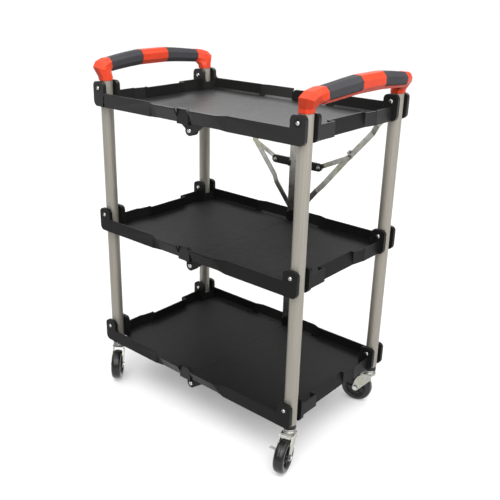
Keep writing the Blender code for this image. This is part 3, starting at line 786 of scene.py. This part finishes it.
def upper_arm():
    """Arm from the shelf's corner bolt down to the knee, with its stop tab and knee rivet."""
    length = (KNEE - Vector((CORNER_X, PIN_Z["top"]))).length
    arm = joggled_strip(length, UPPER_ARM_Y[1], UPPER_ARM_Y[0], (0.085, 0.120))
    outer = UPPER_ARM_Y[0] + STRIP
    tab = box((length - 0.0170, length - 0.0080), (UPPER_ARM_Y[0] - 0.0060, outer), (-0.0105, -0.0055))
    combine(arm, [tab])
    cut(arm, [rod(PIVOT_HOLE_R, 0.1850, BEYOND)])
    soften(arm, 0.0004)
    return finish(join(arm, [rivet(outer, length)]), "zinc")


def short_link():
    """Link from the release bar's end to the knee, with the pin that it turns on."""
    length = (KNEE - BAR_END).length
    plate = soften(prism(strip_outline(0.0, length, 0.0058), "Y", *LINK_Y), 0.0004)
    head = BAR_Y[0] - 0.0004
    inside = LINK_Y[0] + 0.001
    profile = [(0.0, head - 0.0020), (0.0030, head - 0.0018), (0.0046, head - 0.0010), (0.0052, head),
               (0.0030, head), (0.0030, inside), (0.0, inside)]
    pin = turned(profile, 28, "Y")
    return finish(join(plate, [pin, rivet(LINK_Y[1], 0.0, 0.0042, 0.0015)]), "zinc")


def release_bar():
    """Black bar between the short links, with raised rims and its guide clip."""
    bar = prism(strip_outline(-BAR_END.x, BAR_END.x, 0.0100), "Y", *BAR_Y)
    pockets = []
    for low, high in ((BAR_Y[0] - 0.001, BAR_Y[0] + 0.0009), (BAR_Y[1] - 0.0009, BAR_Y[1] + 0.001)):
        pockets.append(prism(strip_outline(-0.0500, 0.0500, 0.0068), "Y", low, high))
    cut(bar, pockets)
    hook = TIE_HALF + 0.0006
    clip = []
    for side in (-1, 1):
        path = [(side * hook, 0.2000), (side * (hook + 0.0026), 0.2000), (side * (hook + 0.0026), 0.1858),
                (side * (hook - 0.0030), 0.1858), (side * (hook - 0.0030), 0.1880), (side * hook, 0.1880)]
        clip.append(prism(path, "Z", -0.0070, 0.0070))
    combine(bar, clip)
    cut(bar, [rod(PIVOT_HOLE_R, 0.1950, 0.2100, centre=(side * BAR_END.x, 0.0)) for side in (-1, 1)])
    return finish(soften(bar, 0.0008, 3), "bar")


# --- Casters ---------------------------------------------------------------------------------

def caster_stem():
    """Plug in the post's end with its ribbed collar."""
    profile = [(0.0, 0.1400), (0.0115, 0.1400), (0.0123, 0.1380), (0.0123, 0.1027), (0.0134, 0.1027),
               (0.0140, 0.1020), (0.0140, 0.0994), (0.0134, 0.0988), (0.0134, 0.0966), (0.0140, 0.0960),
               (0.0140, 0.0935), (0.0134, 0.0928), (0.0046, 0.0928), (0.0046, 0.0960), (0.0, 0.0960)]
    # The collar's near-black colour is partly painted shade of the gap under the post
    return finish(smooth(turned(profile, 40)), "collar")


def caster_rivet():
    """Neck under the collar whose spread head holds the fork."""
    profile = [(0.0, 0.0990), (0.0050, 0.0990), (0.0050, 0.0784), (0.0078, 0.0780), (0.0080, 0.0770),
               (0.0060, 0.0758), (0.0, 0.0755)]
    return finish(smooth(turned(profile, 32)), "bright")


def caster_fork():
    """Race cap, top plate and two tear-shaped cheeks, wheel trailing along +X."""
    tip = arc((TRAIL, WHEEL_R), 0.0078, 210, 350, 14)
    cheek = [(-0.0080, PLATE_Z[1]), (-0.0085, 0.0690), *tip, (TRAIL + 0.0032, 0.0560),
             (TRAIL - 0.0025, 0.0680), (0.0170, 0.0775), (0.0145, PLATE_Z[1])]
    plate = [*arc((0.0, 0.0), 0.0143, 90, 270, 24), (0.0145, -0.0143), (0.0145, 0.0143)]
    cheeks = [prism(cheek, "Y", *CHEEK_Y), prism(cheek, "Y", -CHEEK_Y[1], -CHEEK_Y[0])]
    fork = combine(prism(plate, "Z", *PLATE_Z), cheeks)
    wide = 0.0200
    cut(fork, [
        rod(0.0056, 0.0700, 0.1000, "Z"),
        rod(0.0025, -wide, wide, centre=BRAKE_PIVOT),
        rod(0.0044, -wide, wide, centre=(TRAIL, WHEEL_R)),
    ])
    soften(fork, 0.0010, 3)
    profile = [(0.0056, 0.0807), (0.0128, 0.0807), (0.0137, 0.0815), (0.0142, 0.0832), (0.0139, 0.0850),
               (0.0128, 0.0864), (0.0120, 0.0866), (0.0120, 0.0875), (0.0132, 0.0880), (0.0140, 0.0890),
               (0.0141, 0.0901), (0.0135, 0.0914), (0.0124, 0.0922), (0.0056, 0.0924)]
    cap = turned(profile, 48)
    cap.data.shade_smooth()
    return finish(join(fork, [cap]), "zinc")


def caster_tyre():
    """Rounded tyre with a fine parting line and shallow grooves, about its own axis."""
    side = [(0.0255, 0.0100), (0.0262, 0.0110), (0.0292, 0.0116), (0.0322, 0.0114), (0.0345, 0.0103),
            (0.0361, 0.0084), (0.0371, 0.0056), (WHEEL_R, 0.0026), (WHEEL_R, 0.0006), (0.0372, 0.0)]
    profile = side + [(radius, -height) for radius, height in reversed(side[:-1])]
    piece = turned(profile, 72, "Y")
    piece.data.shade_smooth()
    return finish(piece, "tyre")


def caster_hub():
    """Wheel centre: bearing boss, dished web with ribs and a bead."""
    side = [(0.0044, 0.0121), (0.0085, 0.0121), (0.0092, 0.0112), (0.0098, 0.0074), (0.0225, 0.0074),
            (0.0232, 0.0098), (0.0256, 0.0101)]
    profile = side + [(radius, -height) for radius, height in reversed(side)]
    web = smooth(turned(profile, 64, "Y"))
    ribs = []
    for count in range(6):
        rib = box((0.0090, 0.0235), (-0.0104, 0.0104), (-0.0009, 0.0009))
        rib.data.transform(Matrix.Rotation(math.tau * count / 6, 4, "Y"))
        ribs.append(rib)
    return finish(join(web, ribs), "hub")


def caster_axle():
    """Axle bolt with a domed head, a hexagon nut and its thread end."""
    edge = CHEEK_Y[1] + 0.0002
    profile = [(0.0, -edge - 0.0032), (0.0030, -edge - 0.0030), (0.0052, -edge - 0.0016), (0.0064, -edge),
               (0.0040, -edge), (0.0040, edge + 0.0036), (0.0, edge + 0.0036)]
    shaft = smooth(turned(profile, 32, "Y"))
    corners = [(0.0064 * math.cos(math.tau * count / 6), 0.0064 * math.sin(math.tau * count / 6))
               for count in range(6)]
    nut = soften(prism(corners, "Y", edge, edge + 0.0032), 0.0004)
    return finish(join(nut, [shaft]), "bright")


def brake_lever():
    """Cross shaft with a pad over the tyre, and a side arm that ends in a curled toe tab."""
    root = Vector((0.0160, -0.0262))
    across = Vector((-root.y, root.x)).normalized() * 0.0030
    arm = [across, -across, root - across, root + across]
    top = [(-0.0154, -0.0272), (-0.0190, -0.0264), (-0.0207, -0.0254), (-0.0226, -0.0247),
           (-0.0270, -0.0244), (-0.0316, -0.0244)]
    low = [(-0.0316, -0.0254), (-0.0270, -0.0254), (-0.0230, -0.0258), (-0.0211, -0.0265),
           (-0.0194, -0.0275), (-0.0154, -0.0284)]
    pad = [(0.0, -0.0010), (0.0095, 0.0010), (0.0095, 0.0025), (0.0, 0.0015)]
    arm_y = (-0.0168, -0.0152)
    lever = combine(rod(0.0021, -0.0162, 0.0158), [
        prism(pad, "Y", -0.0100, 0.0100),
        prism(arm, "Y", *arm_y),
        rod(0.0034, *arm_y),
        prism(top + low, "X", 0.0120, 0.0205),
    ])
    return finish(soften(lever, 0.0003), "pressed")


# --- Assembly --------------------------------------------------------------------------------

def drop(*masters):
    """Remove the master pieces once their copies are in place."""
    for master in masters:
        bpy.data.objects.remove(master)


def build_frames():
    """Posts, handles, grips and corner bolts with their washers."""
    tube = post()
    core = handle_core()
    grips = {"front": handle_grip(-1), "back": handle_grip(1)}
    short = bolt(INNER_Y, OUTER_Y, 0.0044)
    braced = bolt(INNER_Y, UPPER_ARM_Y[1] + STRIP, 0.0048)
    washer = ear_washer()
    for end, across in (("right", 1), ("left", -1)):
        body = f"end_frame_{end}"
        flip = across < 0
        put(core, f"handle_bar_{end}", body, ORIGIN, 0, f"handle_{end}", flip)
        for row, along in (("front", -1), ("back", 1)):
            spot = (across * CORNER_X, along * POST_Y, 0)
            put(tube, f"tube_{row}_{end}", body, spot, 0, f"post_{row}_{end}")
            put(grips[row], f"sleeve_{row}_{end}", body, ORIGIN, 0, f"grip_{row}_{end}", flip)
            turn = 180.0 if row == "front" else 0.0
            for tier, height in PIN_Z.items():
                master = braced if (tier, row) == ("top", "back") else short
                place = (across * CORNER_X, 0, height)
                put(master, f"screw_{tier}_{row}_{end}", body, place, turn, f"bolt_{tier}_{row}_{end}")
                put(washer, f"washer_{tier}_{row}_{end}", f"{tier}_tray_{end}", place, turn)
    drop(tube, core, short, braced, washer, *grips.values())


def build_trays():
    """Tray halves with their seam strips and hinge covers, and the hinge pins."""
    # The top tier takes the plain tray plastic. The lower tiers take a darker, less glossy copy of it,
    # which is painted shade from the shelves above
    top_tier_half = tray_half("tray")
    painted_shade_half = tray_half("tray_low")
    strip = seam_strip()
    cover = hinge_cover()
    inner = BACK_LUG_Y[0]
    outer = -FRONT_LUG_Y[0]
    play = 0.0004
    front = bolt(inner, outer, 0.0054)
    back = bolt(inner, TIE_Y[1], 0.0052, (outer + play, TIE_Y[0] - play))
    for tier, height in PIN_Z.items():
        half = top_tier_half if tier == "top" else painted_shade_half
        for end, across, turn in (("right", 1, 0.0), ("left", -1, 180.0)):
            place = (across * CORNER_X, 0, height)
            body = f"{tier}_tray_{end}"
            put(half, f"shelf_{tier}_{end}", body, place, turn, f"tray_{tier}_{end}")
            put(strip, f"seam_strip_{tier}_{end}", body, place, turn)
            put(cover, f"hinge_cover_{tier}_{end}", body, place, turn)
        hinge = (0.0, 0.0, height - HINGE_DROP)
        put(front, f"pivot_{tier}_front", f"{tier}_tray_left", hinge, 180.0, f"hinge_pin_{tier}_front")
        put(back, f"pivot_{tier}_back", f"{tier}_tray_left", hinge, 0.0, f"hinge_pin_{tier}_back")
    drop(top_tier_half, painted_shade_half, strip, cover, front, back)


def build_brace():
    """Tie bar, arms, links and release bar at the back."""
    upright = tie_bar()
    bar = release_bar()
    put(upright, "tie_strip", "tie", ORIGIN, 0, "tie_bar")
    put(bar, "pull_bar", "release", (0, 0, BAR_END.y), 0, "release_bar")
    drop(upright, bar)
    corner = Vector((CORNER_X, PIN_Z["top"]))
    rows = (
        (lower_arm(), "lower_arm", "brace_lower", FOOT),
        (upper_arm(), "upper_arm", "brace_upper", corner),
        (short_link(), "short_link", "brace_link", BAR_END),
    )
    for master, body, node, start in rows:
        aim(master, start, KNEE)
        for end, across in (("right", 1), ("left", -1)):
            place = (across * start.x, 0, start.y)
            put(master, f"strut_{node}_{end}", f"{body}_{end}", place, 0, f"{node}_{end}", across < 0)
        drop(master)


def build_casters():
    """Swivel casters, with brakes on the two at +X."""
    stem = caster_stem()
    rivet_pin = caster_rivet()
    fork = caster_fork()
    tyre = caster_tyre()
    hub = caster_hub()
    axle = caster_axle()
    lever = brake_lever()
    for corner, (across, along, heading) in CASTERS.items():
        foot = Vector((across * CORNER_X, along * POST_Y, 0.0))
        run = Vector((math.cos(math.radians(heading)), math.sin(math.radians(heading)), 0.0))
        middle = foot + run * TRAIL + Vector((0.0, 0.0, WHEEL_R))
        end = corner.split("_")[1]
        put(stem, f"collar_{corner}", f"end_frame_{end}", foot, 0, f"caster_stem_{corner}")
        put(rivet_pin, f"rivet_{corner}", f"end_frame_{end}", foot)
        put(fork, f"yoke_{corner}", f"swivel_{corner}", foot, heading, f"caster_fork_{corner}")
        put(tyre, f"tyre_{corner}", f"roller_{corner}", middle, heading, f"wheel_{corner}")
        put(hub, f"hub_{corner}", f"roller_{corner}", middle, heading)
        put(axle, f"shaft_{corner}", f"swivel_{corner}", middle, heading, f"axle_{corner}")
        if corner in BRAKED:
            place = foot + run * BRAKE_PIVOT[0] + Vector((0.0, 0.0, BRAKE_PIVOT[1]))
            put(lever, f"pedal_{corner}", f"brake_{corner}", place, heading, f"brake_lever_{corner}")
    drop(stem, rivet_pin, fork, tyre, hub, axle, lever)


# --- Stage -----------------------------------------------------------------------------------

# Camera: its place, its turn round, up and roll in degrees, and its lens
EYE = (1.01402, -1.19569, 0.99254)
EYE_TURN = (41.574, 21.523, 0.756)
LENS = 51.005
SENSOR = 36.0
SHIFT = (0.0475, 0.001)

# Paper floor, the card that reflections see instead, and the wall far round them
FLOOR_HALF = 60.0
FLOOR_Z = -0.0006
FLOOR_GLOW = 0.25
CARD_Z = -0.0020
CARD_GLOW = 1.3
WALL_R = 55.0
WALL_HEIGHT = 40.0
WALL_GLOW = 1.0
WHITE = (1.0, 1.0, 1.0, 1.0)
PALE = (0.70, 0.70, 0.70)
DARK = (0.02, 0.02, 0.02)

# Light. Sky: height of the direction and strength. Sun: run of the light, power and angle.
# Lamps: place, target, size, power, and which pieces are lit if not all
SKY = [(-0.6, 0.10), (0.0, 0.16), (0.4, 0.24), (0.8, 0.62)]
SUN_RUN = (0.10, -0.05, -1.0)
SUN_POWER = 2.0
SUN_ANGLE = 85.0
LAMPS = {
    "key": ((0.9, -1.7, 2.1), (0.0, 0.0, 0.5), (2.2, 2.2), 58.0, None),
    "side": ((2.0, -0.2, 1.7), (-0.3, 0.0, 0.8), (1.4, 1.4), 18.0, None),
    "back": ((-0.7, 1.2, 2.6), (0.0, 0.0, 0.7), (3.2, 1.8), 32.0, "shelves"),
    "above": ((-0.4, 0.8, 1.5), (0.0, 0.0, 0.7), (2.2, 1.1), 18.0, "shelves"),
    "rear": ((-1.5, 2.2, 1.8), (0.0, 0.0, 0.5), (2.5, 2.5), 20.0, "rest"),
}


def facing(direction):
    """Turn that points a lamp along a direction."""
    return Vector(direction).to_track_quat("-Z", "Y").to_euler()


def build_camera():
    """A viewpoint about 42 degrees round from the front and 22 degrees up."""
    turn, tilt, roll = (math.radians(value) for value in EYE_TURN)
    back = Vector((math.sin(turn) * math.cos(tilt), -math.cos(turn) * math.cos(tilt), math.sin(tilt)))
    level = Vector((math.cos(turn), math.sin(turn), 0.0))
    upright = back.cross(level)
    right = level * math.cos(roll) + upright * math.sin(roll)
    up = upright * math.cos(roll) - level * math.sin(roll)
    data = bpy.data.cameras.new("camera")
    data.sensor_width = SENSOR
    data.lens = LENS
    data.shift_x, data.shift_y = SHIFT
    data.clip_start = 0.05
    camera = add_to_scene("camera", data)
    camera.matrix_world = Matrix((
        (right.x, up.x, back.x, EYE[0]),
        (right.y, up.y, back.y, EYE[1]),
        (right.z, up.z, back.z, EYE[2]),
        (0.0, 0.0, 0.0, 1.0)))
    bpy.context.scene.camera = camera


def stage_piece(bm, name, colour, glow, hidden):
    """A piece of the stage that the named kinds of ray pass by."""
    piece = to_object(bm, name)
    paper = Shader(f"{name}_paper", colour, 0.85, Specular_IOR_Level=0.1, Emission_Color=WHITE,
                   Emission_Strength=glow)
    paper.rough(paper.ramp(paper.noise(3.0, 2.0), 0.80, 0.90))
    paper.material.cycles.emission_sampling = "NONE"
    piece.data.materials.append(paper.material)
    for kind in hidden:
        setattr(piece, f"visible_{kind}", False)


def sheet(height):
    """A wide flat square."""
    bm = bmesh.new()
    bmesh.ops.create_grid(bm, x_segments=1, y_segments=1, size=FLOOR_HALF)
    bmesh.ops.translate(bm, verts=bm.verts, vec=(0.0, 0.0, height))
    return bm


def round_wall():
    """A wide open cylinder that stands on the floor."""
    bm = bmesh.new()
    bmesh.ops.create_circle(bm, segments=64, radius=WALL_R)
    grown = bmesh.ops.extrude_edge_only(bm, edges=bm.edges[:])
    tops = [item for item in grown["geom"] if isinstance(item, bmesh.types.BMVert)]
    bmesh.ops.translate(bm, verts=tops, vec=(0.0, 0.0, WALL_HEIGHT))
    return bm


def build_paper():
    """Pale floor, an even card under it for the reflections, and a pale wall far round it."""
    stage_piece(sheet(FLOOR_Z), "studio_floor", PALE, FLOOR_GLOW, ["diffuse", "glossy"])
    stage_piece(sheet(CARD_Z), "studio_card", DARK, CARD_GLOW, ["camera", "diffuse", "shadow"])
    stage_piece(round_wall(), "studio_wall", PALE, WALL_GLOW, ["diffuse", "glossy", "shadow"])


def build_sky():
    """A world that grows brighter with the height of the direction."""
    world = bpy.data.worlds.new("studio")
    world.use_nodes = True
    nodes = world.node_tree.nodes
    links = world.node_tree.links
    background = nodes["Background"]
    direction = nodes.new("ShaderNodeTexCoord")
    parts = nodes.new("ShaderNodeSeparateXYZ")
    share = nodes.new("ShaderNodeMapRange")
    sky = nodes.new("ShaderNodeValToRGB")
    share.inputs["From Min"].default_value = -1.0
    for _ in SKY[2:]:
        sky.color_ramp.elements.new(0.5)
    for stop, (height, strength) in zip(sky.color_ramp.elements, SKY):
        stop.position = 0.5 + 0.5 * height
        stop.color = (strength, strength, strength, 1.0)
    links.new(direction.outputs["Generated"], parts.inputs[0])
    links.new(parts.outputs["Z"], share.inputs["Value"])
    links.new(share.outputs["Result"], sky.inputs["Fac"])
    links.new(sky.outputs["Color"], background.inputs["Color"])
    bpy.context.scene.world = world


def area_light(name, place, target, size, power, receivers):
    """A soft rectangular light aimed at a point, on all pieces or only on some."""
    data = bpy.data.lights.new(name, "AREA")
    data.shape = "RECTANGLE"
    data.size, data.size_y = size
    data.energy = power
    light = add_to_scene(name, data)
    light.location = place
    light.rotation_euler = facing(Vector(target) - Vector(place))
    if receivers:
        group = bpy.data.collections.new(f"{name}_receivers")
        for piece in receivers:
            group.objects.link(piece)
        light.light_linking.receiver_collection = group


def build_light():
    """Soft studio light, mostly from above."""
    build_sky()
    data = bpy.data.lights.new("overhead", "SUN")
    data.energy = SUN_POWER
    data.angle = math.radians(SUN_ANGLE)
    overhead = add_to_scene("overhead", data)
    overhead.rotation_euler = facing(SUN_RUN)
    meshes = [piece for piece in bpy.context.scene.objects if piece.type == "MESH"]
    lit = {
        "shelves": [piece for piece in meshes if piece.name.startswith("shelf_")],
        "rest": [piece for piece in meshes if not piece.name.startswith(("shelf_", "studio_"))],
    }
    for name, (place, target, size, power, only) in LAMPS.items():
        area_light(name, place, target, size, power, lit.get(only))
    bpy.context.scene.view_settings.view_transform = "Standard"


build_frames()
build_trays()
build_brace()
build_casters()
build_camera()
build_paper()
build_light()
